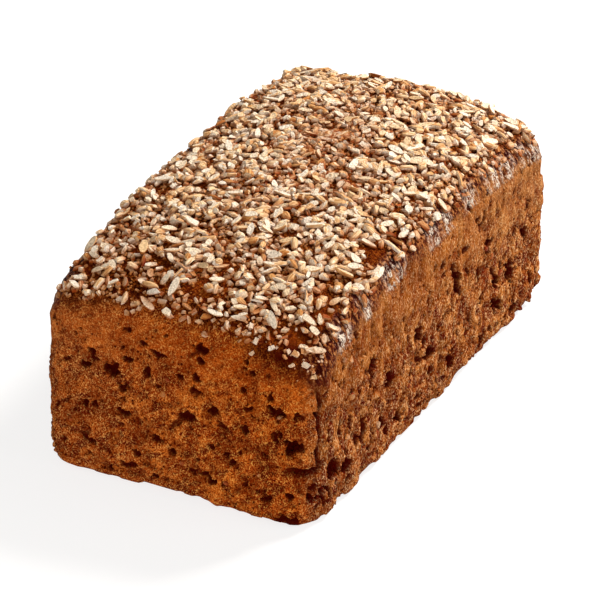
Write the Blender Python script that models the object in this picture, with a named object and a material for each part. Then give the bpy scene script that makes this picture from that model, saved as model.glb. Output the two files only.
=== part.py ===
"""A wholemeal rye loaf baked in a tin, its top strewn with cracked rye kernels.

Metres, +Z up. The loaf stands on its flat base with the base's centre at the origin,
and its length runs along X. It is one solid: the crumb with its pitted crust, and the
larger pieces of cracked rye that are baked into the top.
"""

import math
import random

import bmesh
import bpy
from mathutils import Matrix, Vector, noise
from mathutils.bvhtree import BVHTree

# The tin that shaped the loaf
LENGTH = 0.1780
WIDTH = 0.1000
CORNER_RADIUS = 0.0125
BASE_RADIUS = 0.0050

# The risen top: the rim at the four corners, and how far the middle stands above it
RIM_HEIGHT = 0.0580
SHOULDER_RADIUS = 0.0085
ARCH_ALONG = 0.0118
ARCH_ACROSS = 0.0074
WALL_BULGE = 0.0005

# The crust's relief
FINE_GRID = 0.0012
CRUST_TRIANGLES = 4400
WAVE_HEIGHT = 0.0009
WAVE_SIZE = 0.026
WAVE_ORIGIN = (15.3, 5.4, 20.7)
LUMP_HEIGHT = 0.0007
LUMP_SIZE = 0.009
BASE_CRAG_DEPTH = 0.0020
BASE_CRAG_REACH = 0.0080
PIT_SLOPE = 0.55

# Pits of the two walls that tell this loaf from another, each as its place on the wall,
# its width and its height, in millimetres: along Y and Z on the end, X and Z on the side
MM = 0.001
END_PITS = (
    (30, 47, 3.2, 3.8),
    (22, 43, 5.8, 4.5),
    (5, 53, 4.4, 2.6),
    (9, 45, 3.6, 3.0),
    (19, 37, 3.0, 3.0),
    (-10, 59, 5.2, 2.8),
    (-37, 43, 6.0, 3.6),
    (-43, 31, 5.7, 6.2),
    (-14, 37, 3.4, 3.0),
    (6, 21, 3.6, 3.0),
    (-25, 33, 3.8, 3.2),
    (-5, 33, 5.5, 3.2),
    (-14, 11, 3.2, 3.0),
    (-40, 1, 7.0, 5.0),
)
SIDE_PITS = (
    (57, 23, 5.0, 6.5),
    (47, 24, 6.0, 4.0),
    (45, 16, 4.0, 4.5),
    (14, 42, 5.0, 6.0),
    (-12, 34, 4.4, 4.8),
    (-5, 24, 6.5, 4.4),
    (-34, 30, 5.2, 6.0),
    (-46, 42, 5.7, 4.2),
    (-27, 12, 4.4, 4.4),
    (11, 13, 4.8, 6.0),
    (35, 7, 6.2, 5.0),
    (59, 6, 8.0, 4.0),
    (68, 32, 3.4, 5.6),
    (-54, 22, 3.8, 5.6),
    (-39, 16, 3.8, 4.2),
    (-73, 18, 5.6, 5.0),
)
HIDDEN_PITS = 15
HIDDEN_PIT_SIZES = (3.2, 6.0)

# The crust's fold at the corner between the end and the side: a lip, a groove beside it
# from its foot to its top, and a crease that runs from the foot along the end
FOLD_ANGLE = math.radians(60)
FOLD_FOOT = 0.0215
FOLD_TOP = 0.0530
LIP_HEIGHT = 0.0010
GROOVE_DEPTH = 0.0016
GROOVE_WIDTH = 0.0022
CREASE_LENGTH = 0.0150
CREASE_DEPTH = 0.0030

# The cracked rye on top
KERNELS = 200
KERNEL_SPACING = 0.0070
KERNEL_LENGTHS = (0.0048, 0.0090)
KERNEL_WIDTH = 0.0030
KERNEL_THICKNESS = 0.0024
CHIP_SHARE = 0.4
CHIP_SIZES = (0.0030, 0.0044)
STREWN_TO_SLOPE = 0.47

HALF_LENGTH = LENGTH / 2
HALF_WIDTH = WIDTH / 2


def smooth(low, high, value):
    """0 below low, 1 above high, and an even S-curve between them."""
    share = min(1.0, max(0.0, (value - low) / (high - low)))
    return share * share * (3 - 2 * share)


def clear_scene():
    for obj in list(bpy.data.objects):
        bpy.data.objects.remove(obj)


def apply_modifier(obj, modifier):
    """The object's mesh as this modifier leaves it, kept as its own."""
    graph = bpy.context.evaluated_depsgraph_get()
    mesh = bpy.data.meshes.new_from_object(obj.evaluated_get(graph))
    obj.modifiers.remove(modifier)
    obj.data = mesh


def bread_material():
    material = bpy.data.materials.new("rye_crust")
    material.use_nodes = True
    shader = material.node_tree.nodes["Principled BSDF"]
    shader.inputs["Base Color"].default_value = (0.36, 0.155, 0.050, 1)
    shader.inputs["Roughness"].default_value = 0.62
    shader.inputs["Metallic"].default_value = 0
    return material


def bevel_where(mesh, chosen, radius, segments):
    """Rounds the edges for which chosen(edge) holds."""
    edges = [edge for edge in mesh.edges if chosen(edge)]
    bmesh.ops.bevel(
        mesh, geom=edges, offset=radius, segments=segments, profile=0.5, affect="EDGES"
    )


def tin_block():
    """The dough as the tin holds it: a block with round corners, shoulders and base."""
    mesh = bmesh.new()
    bmesh.ops.create_cube(mesh, size=1)
    bmesh.ops.scale(mesh, vec=(LENGTH, WIDTH, RIM_HEIGHT), verts=mesh.verts)
    bmesh.ops.translate(mesh, vec=(0, 0, RIM_HEIGHT / 2), verts=mesh.verts)

    def upright(edge):
        return abs(edge.verts[0].co.z - edge.verts[1].co.z) > RIM_HEIGHT / 2

    def at_height(height):
        return lambda edge: all(abs(v.co.z - height) < 1e-6 for v in edge.verts)

    bevel_where(mesh, upright, CORNER_RADIUS, 8)
    bevel_where(mesh, at_height(RIM_HEIGHT), SHOULDER_RADIUS, 6)
    bevel_where(mesh, at_height(0), BASE_RADIUS, 4)

    block = bpy.data.objects.new("loaf", bpy.data.meshes.new("loaf"))
    mesh.to_mesh(block.data)
    mesh.free()
    bpy.context.scene.collection.objects.link(block)

    remesh = block.modifiers.new("even_grid", "REMESH")
    remesh.mode = "VOXEL"
    remesh.voxel_size = FINE_GRID
    apply_modifier(block, remesh)
    return block


def risen(point):
    """Where a point of the block goes when the dough rises: the top arches both ways."""
    along = min(1.0, abs(point.x) / HALF_LENGTH)
    across = min(1.0, abs(point.y) / HALF_WIDTH)
    arch = ARCH_ALONG * (1 - along**3) + ARCH_ACROSS * (1 - across**2)
    share = point.z / RIM_HEIGHT
    bulge = 1 + WALL_BULGE / HALF_WIDTH * share * (1 - along**2)
    return Vector((point.x, point.y * bulge, point.z + arch * share))


def hidden_pits(draw, half_span):
    """Pits of a wall that the picture doesn't show, with the sizes of those that it does."""
    pits = []
    for _ in range(HIDDEN_PITS):
        width = draw.uniform(*HIDDEN_PIT_SIZES)
        height = draw.uniform(*HIDDEN_PIT_SIZES)
        place = draw.uniform(-0.85, 0.85) * half_span / MM
        pits.append((place, draw.uniform(8, 52), width, height))
    return pits


def pit_depth(pits, place, height):
    """How far the crust is sunk at this place on a wall."""
    deepest = 0.0
    for middle, level, width, tall in pits:
        off = math.hypot(
            (place / MM - middle) / (width / 2), (height / MM - level) / (tall / 2)
        )
        if off < 1:
            depth = MM * (0.9 + 0.45 * min(width, tall))
            deepest = max(deepest, depth * (1 - smooth(PIT_SLOPE, 1, off)))
    return deepest


def fold_relief(point):
    """The lip, groove and crease at the corner between the end and the side."""
    centre_x = -HALF_LENGTH + CORNER_RADIUS
    centre_y = -HALF_WIDTH + CORNER_RADIUS
    if point.x > centre_x + CORNER_RADIUS or point.y > centre_y + CREASE_LENGTH:
        return 0.0
    # The distance round the corner from the fold, towards the side where it is positive
    if point.y > centre_y:
        along = -(point.y - centre_y) - FOLD_ANGLE * CORNER_RADIUS
    else:
        angle = math.atan2(centre_y - point.y, max(1e-9, centre_x - point.x))
        along = (angle - FOLD_ANGLE) * CORNER_RADIUS
    if point.x > centre_x:
        along = math.radians(90) * CORNER_RADIUS - FOLD_ANGLE * CORNER_RADIUS
        along += point.x - centre_x
    rises = smooth(FOLD_FOOT - 0.002, FOLD_FOOT + 0.002, point.z)
    rises *= 1 - smooth(FOLD_TOP - 0.012, FOLD_TOP, point.z)
    lip = LIP_HEIGHT * smooth(-0.012, -0.001, along) * (1 - smooth(0, 0.0012, along))
    groove = -GROOVE_DEPTH * max(0.0, 1 - abs(along - GROOVE_WIDTH / 2) / GROOVE_WIDTH)
    level = FOLD_FOOT + 0.25 * max(0.0, along)
    reach = smooth(-CREASE_LENGTH, -0.004, along) * (1 - smooth(0.001, 0.006, along))
    crease = -CREASE_DEPTH * reach * max(0.0, 1 - abs(point.z - level) / 0.0022)
    return (lip + groove) * rises + crease


def crust_relief(point, normal, pits):
    """How far the crust stands out from the smooth loaf at a point, along its normal."""
    upright = 1 - smooth(0.35, 0.75, abs(normal.z))
    relief = WAVE_HEIGHT * noise.noise(point / WAVE_SIZE + Vector(WAVE_ORIGIN))
    relief += LUMP_HEIGHT * noise.noise(point / LUMP_SIZE) * upright
    low = 1 - smooth(0, BASE_CRAG_REACH, point.z)
    crags = noise.noise(point / LUMP_SIZE + Vector((7, 3, 0)))
    relief -= BASE_CRAG_DEPTH * low * smooth(-0.1, 0.5, crags)
    if abs(normal.x) > abs(normal.y):
        wall, place = ("end" if normal.x < 0 else "far_end"), point.y
    else:
        wall, place = ("side" if normal.y < 0 else "far_side"), point.x
    relief -= pit_depth(pits[wall], place, point.z) * upright
    relief += fold_relief(point) * upright
    # The base rests on the tin's floor, so it keeps flat
    return relief * smooth(-0.95, -0.55, normal.z)


def bake_crust(loaf):
    """Gives the block its risen top and the relief of its crust, then thins its mesh."""
    draw = random.Random(4)
    pits = {
        "end": END_PITS,
        "side": SIDE_PITS,
        "far_end": hidden_pits(draw, HALF_WIDTH),
        "far_side": hidden_pits(draw, HALF_LENGTH),
    }
    for vertex in loaf.data.vertices:
        vertex.co = risen(vertex.co)
    loaf.data.update()
    normals = [vertex.normal.copy() for vertex in loaf.data.vertices]
    for vertex, normal in zip(loaf.data.vertices, normals):
        vertex.co += normal * crust_relief(vertex.co, normal, pits)
    loaf.data.update()

    thin = loaf.modifiers.new("thin", "DECIMATE")
    loaf.data.calc_loop_triangles()
    thin.ratio = CRUST_TRIANGLES / len(loaf.data.loop_triangles)
    thin.use_collapse_triangulate = True
    apply_modifier(loaf, thin)
    for vertex in loaf.data.vertices:
        if vertex.co.z < MM / 4:
            vertex.co.z = 0.0


def kernel_places(loaf, draw):
    """Places on the top for the kernels, evenly spread, each with the crust's normal."""
    mesh = bmesh.new()
    mesh.from_mesh(loaf.data)
    crust = BVHTree.FromBMesh(mesh)
    mesh.free()
    places = []
    for _ in range(60 * KERNELS):
        x = draw.uniform(-HALF_LENGTH, HALF_LENGTH)
        y = draw.uniform(-HALF_WIDTH, HALF_WIDTH)
        spot, normal, _, _ = crust.ray_cast(Vector((x, y, 1)), Vector((0, 0, -1)))
        if spot is None or normal.z < STREWN_TO_SLOPE:
            continue
        if all((spot - other).length > KERNEL_SPACING for other, _ in places):
            places.append((spot, normal))
        if len(places) == KERNELS:
            break
    return places


def sliver(draw):
    """A kernel split along its length: a four-sided spindle, a little bent."""
    mesh = bmesh.new()
    bmesh.ops.create_uvsphere(mesh, u_segments=4, v_segments=3, radius=0.5)
    length = draw.triangular(*KERNEL_LENGTHS)
    bend = draw.uniform(-0.5, 0.5)
    for vertex in mesh.verts:
        x, y, z = vertex.co
        y += bend * (0.25 - z * z)
        vertex.co = Vector((z * length, y * KERNEL_WIDTH, x * KERNEL_THICKNESS))
    return mesh


def chip(draw):
    """A kernel broken across: an angular block."""
    mesh = bmesh.new()
    bmesh.ops.create_cube(mesh, size=1)
    length = draw.uniform(*CHIP_SIZES)
    bmesh.ops.scale(
        mesh, vec=(length, 0.8 * length, KERNEL_THICKNESS), verts=mesh.verts
    )
    return mesh


def cracked_kernel(name, draw, spot, normal):
    """One piece of cracked rye, lying on the crust and half baked into it."""
    shape = chip if draw.random() < CHIP_SHARE else sliver
    mesh = shape(draw)
    for vertex in mesh.verts:
        vertex.co *= 1 + draw.uniform(-0.15, 0.15)
    bmesh.ops.triangulate(mesh, faces=mesh.faces)
    bmesh.ops.recalc_face_normals(mesh, faces=mesh.faces)

    turn = Matrix.Rotation(draw.uniform(0, math.tau), 4, "Z")
    tip = Matrix.Rotation(math.radians(draw.uniform(-12, 12)), 4, "Y")
    roll = Matrix.Rotation(math.radians(draw.uniform(-30, 30)), 4, "X")
    stand = normal.to_track_quat("Z", "X").to_matrix().to_4x4()
    mesh.transform(Matrix.Translation(spot) @ stand @ turn @ tip @ roll)
    kernel = bpy.data.objects.new(name, bpy.data.meshes.new(name))
    mesh.to_mesh(kernel.data)
    mesh.free()
    return kernel


def keep_largest_shell(loaf):
    """Drops loose scraps and the walls of hollows that the union sealed."""
    mesh = bmesh.new()
    mesh.from_mesh(loaf.data)
    unseen = set(mesh.verts)
    shells = []
    while unseen:
        shell, edge_of_shell = set(), [unseen.pop()]
        while edge_of_shell:
            vertex = edge_of_shell.pop()
            shell.add(vertex)
            for edge in vertex.link_edges:
                other = edge.other_vert(vertex)
                if other in unseen:
                    unseen.remove(other)
                    edge_of_shell.append(other)
        shells.append(shell)
    largest = max(shells, key=len)
    scraps = [vertex for vertex in mesh.verts if vertex not in largest]
    bmesh.ops.delete(mesh, geom=scraps, context="VERTS")
    mesh.to_mesh(loaf.data)
    mesh.free()


def strew_kernels(loaf):
    """Fuses the cracked kernels to the top of the loaf."""
    draw = random.Random(11)
    topping = bpy.data.collections.new("topping")
    bpy.context.scene.collection.children.link(topping)
    for i, (spot, normal) in enumerate(kernel_places(loaf, draw)):
        topping.objects.link(cracked_kernel(f"kernel_{i}", draw, spot, normal))
    fuse = loaf.modifiers.new("fuse", "BOOLEAN")
    fuse.operation = "UNION"
    fuse.operand_type = "COLLECTION"
    fuse.collection = topping
    apply_modifier(loaf, fuse)
    for kernel in list(topping.objects):
        bpy.data.objects.remove(kernel)
    bpy.data.collections.remove(topping)
    keep_largest_shell(loaf)


def centre_on_origin(loaf):
    """Sets the middle of the loaf's outline over the origin, and its base at height 0."""
    for axis in (0, 1):
        places = [vertex.co[axis] for vertex in loaf.data.vertices]
        middle = (min(places) + max(places)) / 2
        for vertex in loaf.data.vertices:
            vertex.co[axis] -= middle


def main():
    clear_scene()
    loaf = tin_block()
    bake_crust(loaf)
    strew_kernels(loaf)
    centre_on_origin(loaf)
    loaf.data.materials.clear()
    loaf.data.materials.append(bread_material())


main()
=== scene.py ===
"""A wholemeal rye loaf, baked in a tin: dense brown bread whose crust is pitted where it met
the tin, under a domed top that was strewn with cracked rye before it went into the oven."""

import math
import random

import bmesh
import bpy
import numpy as np
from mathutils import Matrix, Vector, noise
from mathutils.bvhtree import BVHTree
from mathutils.kdtree import KDTree


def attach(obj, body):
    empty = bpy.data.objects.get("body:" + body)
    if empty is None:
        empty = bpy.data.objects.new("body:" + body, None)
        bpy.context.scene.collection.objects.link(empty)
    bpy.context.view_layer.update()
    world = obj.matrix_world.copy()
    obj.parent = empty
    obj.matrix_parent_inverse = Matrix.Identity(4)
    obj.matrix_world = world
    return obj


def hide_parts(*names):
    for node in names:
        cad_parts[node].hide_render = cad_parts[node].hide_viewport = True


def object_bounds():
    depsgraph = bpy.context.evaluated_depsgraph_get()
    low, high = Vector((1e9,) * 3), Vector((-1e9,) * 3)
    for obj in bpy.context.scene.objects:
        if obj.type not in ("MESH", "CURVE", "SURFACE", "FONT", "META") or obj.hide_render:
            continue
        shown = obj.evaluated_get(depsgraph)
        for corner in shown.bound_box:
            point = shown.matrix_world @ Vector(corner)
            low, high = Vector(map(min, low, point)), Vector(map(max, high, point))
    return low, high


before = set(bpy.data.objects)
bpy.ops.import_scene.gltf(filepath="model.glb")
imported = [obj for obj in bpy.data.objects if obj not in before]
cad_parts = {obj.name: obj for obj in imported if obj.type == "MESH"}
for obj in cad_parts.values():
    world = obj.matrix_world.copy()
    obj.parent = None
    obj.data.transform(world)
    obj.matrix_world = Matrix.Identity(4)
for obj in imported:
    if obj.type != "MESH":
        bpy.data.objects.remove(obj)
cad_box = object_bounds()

# The loaf: one piece of dense rye bread that rose in a straight-sided tin, so it has a flat
# base, upright walls and a domed top. Made from a block with rounded edges, which gets an even
# fine grid, is arched, and is then roughened, torn and pitted as the real crust is.
LENGTH = 0.1780
WIDTH = 0.1000
RIM_HEIGHT = 0.0580
CORNER_RADIUS = 0.0125
SHOULDER_RADIUS = 0.0085
BASE_RADIUS = 0.0050
ARCH_ALONG = 0.0118
ARCH_ACROSS = 0.0074
WALL_BULGE = 0.0005
HALF_LENGTH = LENGTH / 2
HALF_WIDTH = WIDTH / 2
CRUST_GRID = 0.0005
CRUST_TRIANGLES = 192000
MM = 0.001

bpy.ops.object.select_all(action="DESELECT")
bpy.ops.mesh.primitive_cube_add(
    size=1, location=(0, 0, RIM_HEIGHT / 2), scale=(LENGTH, WIDTH, RIM_HEIGHT)
)
crust = bpy.context.object
crust.name = "crust"
bpy.ops.object.transform_apply(location=True, rotation=True, scale=True)


def round_edges(piece, radius, segments, chosen):
    """Rounds the edges of a piece whose two ends pass a test."""
    bpy.ops.object.mode_set(mode="EDIT")
    bpy.ops.mesh.select_mode(type="EDGE")
    bpy.ops.mesh.select_all(action="DESELECT")
    mesh = bmesh.from_edit_mesh(piece.data)
    for edge in mesh.edges:
        edge.select_set(chosen(edge.verts[0].co, edge.verts[1].co))
    bmesh.update_edit_mesh(piece.data)
    bpy.ops.mesh.bevel(offset=radius, segments=segments, profile=0.5, affect="EDGES")
    bpy.ops.object.mode_set(mode="OBJECT")


def apply_to(piece, kind, **settings):
    """Adds a modifier with these settings to the active piece and applies it."""
    modifier = piece.modifiers.new(kind.lower(), kind)
    for setting, value in settings.items():
        setattr(modifier, setting, value)
    bpy.ops.object.modifier_apply(modifier=modifier.name)


round_edges(crust, CORNER_RADIUS, 8, lambda a, b: abs(a.z - b.z) > RIM_HEIGHT / 2)
round_edges(crust, SHOULDER_RADIUS, 6, lambda a, b: min(a.z, b.z) > RIM_HEIGHT - 1e-6)
round_edges(crust, BASE_RADIUS, 4, lambda a, b: max(a.z, b.z) < 1e-6)
apply_to(crust, "REMESH", mode="VOXEL", voxel_size=CRUST_GRID)


def smooth(low, high, value):
    """0 below low, 1 above high, and an even S-curve between them."""
    share = np.clip((value - low) / (high - low), 0, 1)
    return share * share * (3 - 2 * share)


def lumps(points, size, shift=(0, 0, 0)):
    """Even ups and downs of this size, from about -1 to 1."""
    return np.array([noise.noise(p) for p in (points / size + shift).tolist()])


def crags(points, size, shift=(0, 0, 0)):
    """Ups and downs of this size with ever finer ones on them."""
    places = (points / size + shift).tolist()
    return np.array([noise.fractal(p, 0.7, 2.1, 4) for p in places])


def read(what, wanted):
    """The positions or the normals of a mesh's points, as rows of three."""
    values = np.empty(len(what) * 3, dtype=np.float32)
    what.foreach_get(wanted, values)
    return values.reshape(-1, 3).astype(float)


# The dough's rise: the top arches along the loaf and across it, and the walls bulge a little
points = read(crust.data.vertices, "co")
along = np.clip(abs(points[:, 0]) / HALF_LENGTH, 0, 1)
across = np.clip(abs(points[:, 1]) / HALF_WIDTH, 0, 1)
risen = points[:, 2] / RIM_HEIGHT
points[:, 1] *= 1 + WALL_BULGE / HALF_WIDTH * risen * (1 - along**2)
points[:, 2] += risen * (ARCH_ALONG * (1 - along**3) + ARCH_ACROSS * (1 - across**2))
crust.data.vertices.foreach_set("co", points.ravel())
crust.data.update()
normals = read(crust.data.vertex_normals, "vector")

# Where the dough met the tin, and where it was free: the free crust reaches down over the
# roll of the long sides, stops at the top of the two ends, and comes lower at one corner
SPILL_CORNER = (-HALF_LENGTH, -HALF_WIDTH + 0.004, 0.0600)
steep = 1 - smooth(0.35, 0.75, abs(normals[:, 2]))
endward = smooth(0.35, 0.65, abs(normals[:, 0]) / (abs(normals[:, 0]) + abs(normals[:, 1]) + 1e-9))
tin_line = 0.40 + 0.32 * endward
near_corner = 1 - smooth(0.008, 0.025, np.linalg.norm(points - SPILL_CORNER, axis=1))
tin_line -= 0.45 * near_corner
ragged = crags(points, 0.009, (5, 1, 8))
free = smooth(-0.20, 0.20, normals[:, 2] - tin_line + 0.24 * ragged)

# High on the walls the skin stayed whole and is smoother
skin = smooth(0.030, 0.052, points[:, 2] + 0.010 * lumps(points, 0.016, (3, 3, 1)) - 0.008 * endward)

# The crust's broad waves and lumps, and its grainy, open crumb
wall = steep * (1 - free)
grains = lumps(points, 0.0012, (8, 2, 6))
relief = 0.0009 * lumps(points, 0.026, (15.3, 5.4, 20.7))
relief += 0.0007 * lumps(points, 0.009) * steep
relief += 0.00030 * (lumps(points, 0.0034, (3, 9, 2)) - 0.6) * wall
relief += 0.00030 * (grains - 0.5) * (0.12 + 0.88 * wall) * (1 - 0.6 * skin)
flaky = smooth(0.05, 0.35, lumps(points, 0.0042, (2, 8, 8))) * wall * endward * (1 - 0.8 * skin)
relief -= 0.00045 * flaky
open_crumb = smooth(0.16, 0.55, crags(points, 0.0028, (4, 8, 5))) * wall * (1 - 0.7 * skin)
relief -= 0.00055 * open_crumb

# Fine wrinkles of the crust that rose free of the tin
relief += 0.00032 * crags(points, 0.0024, (7, 7, 3)) * free
relief += 0.00022 * lumps(points, 0.0011, (3, 5, 8)) * free

# Patches where the dough tore or never touched the tin: sunk, rough and darker
torn = smooth(0.12, 0.42, crags(points, 0.0080, (2, 4, 31)))
torn *= wall * smooth(0.070, 0.045, points[:, 2])
relief -= 0.00060 * torn * (1.1 + 0.9 * lumps(points, 0.0017, (1, 7, 3)))

# The long walls were dragged up the tin as the dough rose, which left upright slits
dragged = lumps(points * (1, 1, 0.22), 0.0026, (2, 5, 5))
troughs = smooth(0.05, 0.50, lumps(points * (1, 1, 0.35), 0.0058, (6, 1, 3))) * wall * (1 - endward)
slits = smooth(0.14, 0.40, dragged) * wall * (1 - endward) * smooth(0.004, 0.016, points[:, 2])
relief -= 0.00075 * slits * (1 - 0.5 * skin) + 0.00080 * troughs

# The ragged rim of the base, raised off the table along a part of the end that shows
RIM_RAISED_BY = 0.0014
low = 1 - smooth(0.0005, 0.0080, points[:, 2])
raised = smooth(-0.0150, -0.0110, points[:, 1]) * (1 - smooth(0.0125, 0.0150, points[:, 1]))
raised *= (1 - smooth(-0.0885, -0.0780, points[:, 0])) * (1 - smooth(0.0010, 0.0090, points[:, 2]))
relief -= 0.0024 * low * smooth(-0.1, 0.4, lumps(points, 0.009, (7, 3, 0)))
relief -= 0.0022 * low * smooth(-0.05, 0.4, lumps(points, 0.0038, (4, 4, 9)))

# The roll along the long sides, stretched as it rose: fine ridges run down over it
roll = smooth(0.10, 0.30, normals[:, 2]) * (1 - smooth(0.80, 0.93, normals[:, 2]))
roll *= 1 - endward
stretched = points * (1, 0.24, 0.24)
ridges = lumps(stretched, 0.0016, (6, 0, 0)) + 0.5 * lumps(stretched, 0.0009, (0, 3, 0))
relief += 0.00050 * roll * (ridges - 0.7)

# The fold at the corner between the end and the side that show: a lip, a groove beside it,
# and a crease below it that runs back along the end
FOLD_ANGLE = math.radians(60)
GROOVE_DEPTH = 0.0024
CREASE_DEPTH = 0.0036
centre_x = -HALF_LENGTH + CORNER_RADIUS
centre_y = -HALF_WIDTH + CORNER_RADIUS
turn = np.arctan2(centre_y - points[:, 1], np.maximum(1e-9, centre_x - points[:, 0]))
round_corner = (turn - FOLD_ANGLE) * CORNER_RADIUS
round_corner = np.where(
    points[:, 1] > centre_y,
    centre_y - points[:, 1] - FOLD_ANGLE * CORNER_RADIUS,
    round_corner,
)
round_corner = np.where(
    points[:, 0] > centre_x,
    (math.pi / 2 - FOLD_ANGLE) * CORNER_RADIUS + points[:, 0] - centre_x,
    round_corner,
)
fold_level = points[:, 2]
wavy = 0.0006 * lumps(points, 0.0045, (2, 2, 7))
lip = 0.0012 * smooth(-0.012, -0.001, round_corner) * (1 - smooth(0, 0.0010, round_corner))
groove = GROOVE_DEPTH * np.maximum(0, 1 - abs(round_corner + wavy - 0.0012) / 0.0020)
tall = smooth(0.0195, 0.0235, fold_level) * (1 - smooth(0.044, 0.055, fold_level))
crease_level = 0.0215 + 0.25 * np.maximum(0, round_corner) + 2 * wavy
crease = CREASE_DEPTH * smooth(-0.016, -0.004, round_corner) * (1 - smooth(0.001, 0.007, round_corner))
crease *= np.maximum(0, 1 - abs(fold_level - crease_level) / 0.0022)
at_corner = (points[:, 0] < centre_x + CORNER_RADIUS) & (points[:, 1] < centre_y + 0.015)
relief += np.where(at_corner, ((lip - groove) * tall - crease) * steep, 0)
# How deep the corner's groove and crease are, for the painted shade in them
fold_shade = np.where(at_corner, (groove * tall / GROOVE_DEPTH + crease / 0.0030) * steep, 0)

# The pits. Those that tell this loaf from another come first: on the end as places along Y
# and Z, on the side along X and Z, each with its width and height, all in millimetres. The
# gashes also have a slant, in degrees. A depth is a share of a pit's smaller measure
END_PITS = (
    (30, 47, 3.2, 3.8), (22, 43, 5.8, 4.5), (5, 53, 4.4, 2.6), (9, 45, 3.6, 3.0),
    (19, 37, 3.0, 3.0), (-10, 59, 5.2, 2.8), (-37, 43, 6.8, 4.2), (-43, 31, 5.7, 6.2),
    (-14, 37, 3.4, 3.0), (6, 21, 3.6, 3.0), (-25, 33, 4.0, 3.2), (-5, 33, 5.5, 3.2),
    (-14, 11, 3.2, 3.0), (-40, 1, 7.0, 5.0),
)
SIDE_PITS = (
    (57, 23, 5.0, 6.5), (47, 24, 6.0, 4.0), (45, 16, 4.0, 4.5), (14, 42, 5.0, 6.0),
    (-12, 34, 4.4, 4.8), (-5, 24, 6.5, 4.4), (-34, 30, 5.2, 6.0), (-46, 42, 5.7, 4.2),
    (-27, 12, 4.4, 4.4), (11, 13, 4.8, 6.0), (35, 7, 6.2, 5.0), (59, 6, 8.0, 4.0),
    (68, 32, 3.4, 5.6), (-54, 22, 3.8, 5.6), (-39, 16, 3.8, 4.2), (-73, 18, 5.6, 5.0),
)
SMALL_END_PITS = (
    (34, 55, 1.6, 1.6), (16, 48, 4.4, 2.2), (11, 56, 3.4, 2.0), (17, 59, 2.8, 1.8),
    (-2, 47, 2.9, 2.4), (-8, 48, 2.9, 2.8), (32, 27, 2.2, 2.7), (29, 28, 2.6, 2.4),
    (6, 41, 2.2, 2.2), (-38, 35, 2.1, 2.6), (1, 17, 2.9, 2.3), (-14, 24, 2.2, 1.9),
    (-19, 22, 2.9, 2.3), (-32, 26, 2.1, 1.9), (-26, 59, 1.8, 1.8), (-28, 55, 2.1, 2.2),
    (-25, 48, 2.1, 1.9), (32, 14, 3.7, 1.9), (-10, 55, 3.2, 2.8),
)
SMALL_SIDE_PITS = (
    (3, 53, 3.0, 2.3), (-2, 55, 2.2, 1.9), (39, 43, 4.4, 2.3), (32, 34, 2.3, 5.2),
    (-24, 29, 2.2, 2.3), (-15, 13, 3.0, 3.1), (-83, 44, 2.6, 4.4), (-65, 14, 4.2, 4.6),
    (11, 47, 3.4, 2.8), (26, 22, 2.6, 3.4),
)
END_GASHES = (
    (-3, 31, 13.0, 2.2, 42), (-9, 58, 9.0, 1.8, 35), (3, 35, 5.0, 1.3, 14), (-8, 42, 4.0, 1.6, -80),
    (-18, 30, 6.3, 1.5, 36), (-14, 24, 4.1, 1.6, -29), (-34, 22, 9.0, 1.4, 12),
    (39, 27, 6.1, 1.6, 52), (34, 16, 3.5, 1.8, -22), (24, 11, 4.5, 1.5, -13),
)
SIDE_WIDER, SIDE_TALLER = 1.15, 1.35
PIT_DEPTH, GASH_DEPTH = 0.45, 0.12
HIDDEN_PITS = 15
UPRIGHT_PITS = 560
SMALL_PITS = 1250
sunk = np.zeros(len(points))
tatters = lumps(points, 0.0014, (9, 9, 2))
nearby = KDTree(len(points))
for place, point in enumerate(points):
    nearby.insert(point, place)
nearby.balance()


def press(draw, centre, outward, width, height, depth, lean=0.0):
    """Presses one uneven hollow into the crust round a point of it."""
    reach = 0.62 * max(width, height)
    near = [place for _, place, _ in nearby.find_range(centre, reach)]
    if not near:
        return
    off = points[near] - np.array(centre)
    sideways = np.cross((0, 0, 1), outward)
    sideways = sideways / (np.linalg.norm(sideways) + 1e-9)
    upward = np.cross(outward, sideways)
    level, rise = off @ sideways, off @ upward
    level, rise = (
        level * math.cos(lean) + rise * math.sin(lean),
        rise * math.cos(lean) - level * math.sin(lean),
    )
    away = np.hypot(level / (width / 2), rise / (height / 2))
    bearing = np.arctan2(rise, level)
    for lobes, most in ((2, 0.14), (3, 0.14), (5, 0.10)):
        away *= 1 + most * np.sin(lobes * bearing + draw.uniform(0, math.tau))
    away *= 1 + 0.60 * tatters[near]
    sunk[near] = np.maximum(sunk[near], depth * (1 - smooth(0.68, 1.02, away)))


def wall_pits(pits, wall, draw, deep=PIT_DEPTH, lean=0.0):
    """Presses a list of pits into one of the four walls."""
    for middle, level, width, height in pits:
        if "side" in wall:
            width, height = SIDE_WIDER * width, SIDE_TALLER * height
        place = middle * MM
        if wall in ("end", "far_end"):
            side = -1 if wall == "end" else 1
            centre, outward = (side * HALF_LENGTH, place, level * MM), (side, 0, 0)
        else:
            side = -1 if wall == "side" else 1
            centre, outward = (place, side * HALF_WIDTH, level * MM), (0, side, 0)
        found, _, _ = nearby.find(centre)
        depth = MM * (0.9 * min(1, min(width, height) / 3) + deep * min(width, height))
        press(draw, found, outward, width * MM, height * MM, depth, lean)


def hidden_pits(draw, half_span):
    """Pits of a wall that doesn't show, with the sizes of those that do."""
    pits = []
    for _ in range(HIDDEN_PITS):
        width = draw.uniform(3.2, 6.0)
        height = draw.uniform(3.2, 6.0)
        place = draw.uniform(-0.85, 0.85) * half_span / MM
        pits.append((place, draw.uniform(8, 52), width, height))
    return pits


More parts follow.
